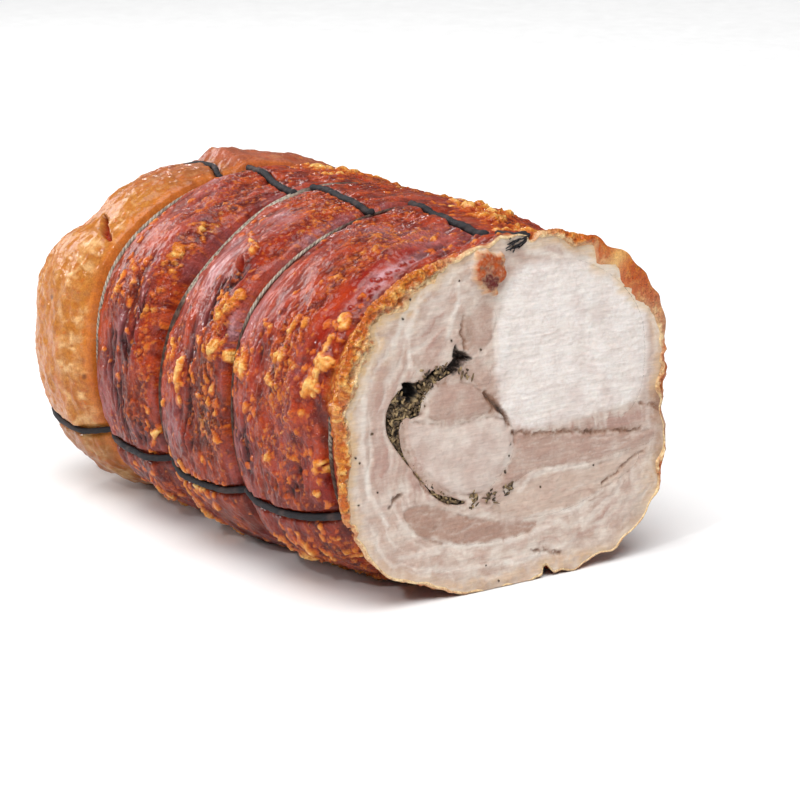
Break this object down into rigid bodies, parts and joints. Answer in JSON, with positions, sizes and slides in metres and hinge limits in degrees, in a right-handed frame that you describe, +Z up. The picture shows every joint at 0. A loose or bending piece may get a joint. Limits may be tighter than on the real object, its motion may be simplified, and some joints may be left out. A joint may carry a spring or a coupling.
{
  "type": "porchetta",
  "caption": "Half of a tied porchetta: a thick roll of boned pork with crackled rind, cut across to show its loin, belly and herb filling.",
  "frame": {"origin": "middle of the flat spot that the roll rests on, halfway along its length", "axes": "+Z up; the roll lies along Y, with its cut face towards -Y; +X to the right as one looks at the cut face"},
  "size_m": [0.2159, 0.3079, 0.1774],
  "materials": {
    "rind": "glossy blistered crackling, with pale meat and fat where it is cut",
    "pale_meat": "matt, moist cut roast pork",
    "pink_meat": "matt, moist cut roast pork, pinker",
    "herbs": "coarse chopped herbs and pepper",
    "twine": "grey-beige cotton butcher's twine",
    "charred_twine": "twine roasted black"
  },
  "bodies": {
    "root": {"rolled_belly": "rind", "loin": "pale_meat", "tenderloin": "pale_meat", "tenderloin_cap": "pink_meat", "herb_filling": "herbs", "side_muscle": "pink_meat", "small_muscle": "pink_meat", "belly_lean_inner": "pink_meat", "belly_lean_outer": "pink_meat", "belly_lean_lower": "pink_meat", "hoop_1": "twine", "hoop_2": "twine", "hoop_3": "twine", "hoop_4": "twine", "string_back_over": "charred_twine", "string_back_under": "charred_twine", "string_bottom_1": "charred_twine", "string_bottom_2": "charred_twine", "string_bottom_3": "charred_twine", "string_bottom_4": "charred_twine", "string_left_2": "charred_twine", "string_left_3": "charred_twine", "string_left_4": "charred_twine", "string_right_1": "charred_twine", "string_right_2": "charred_twine", "string_right_3": "charred_twine", "string_right_4": "charred_twine", "string_top_1": "charred_twine", "string_top_2": "charred_twine", "string_top_3": "charred_twine", "string_top_4": "charred_twine"}
  },
  "joints": []
}
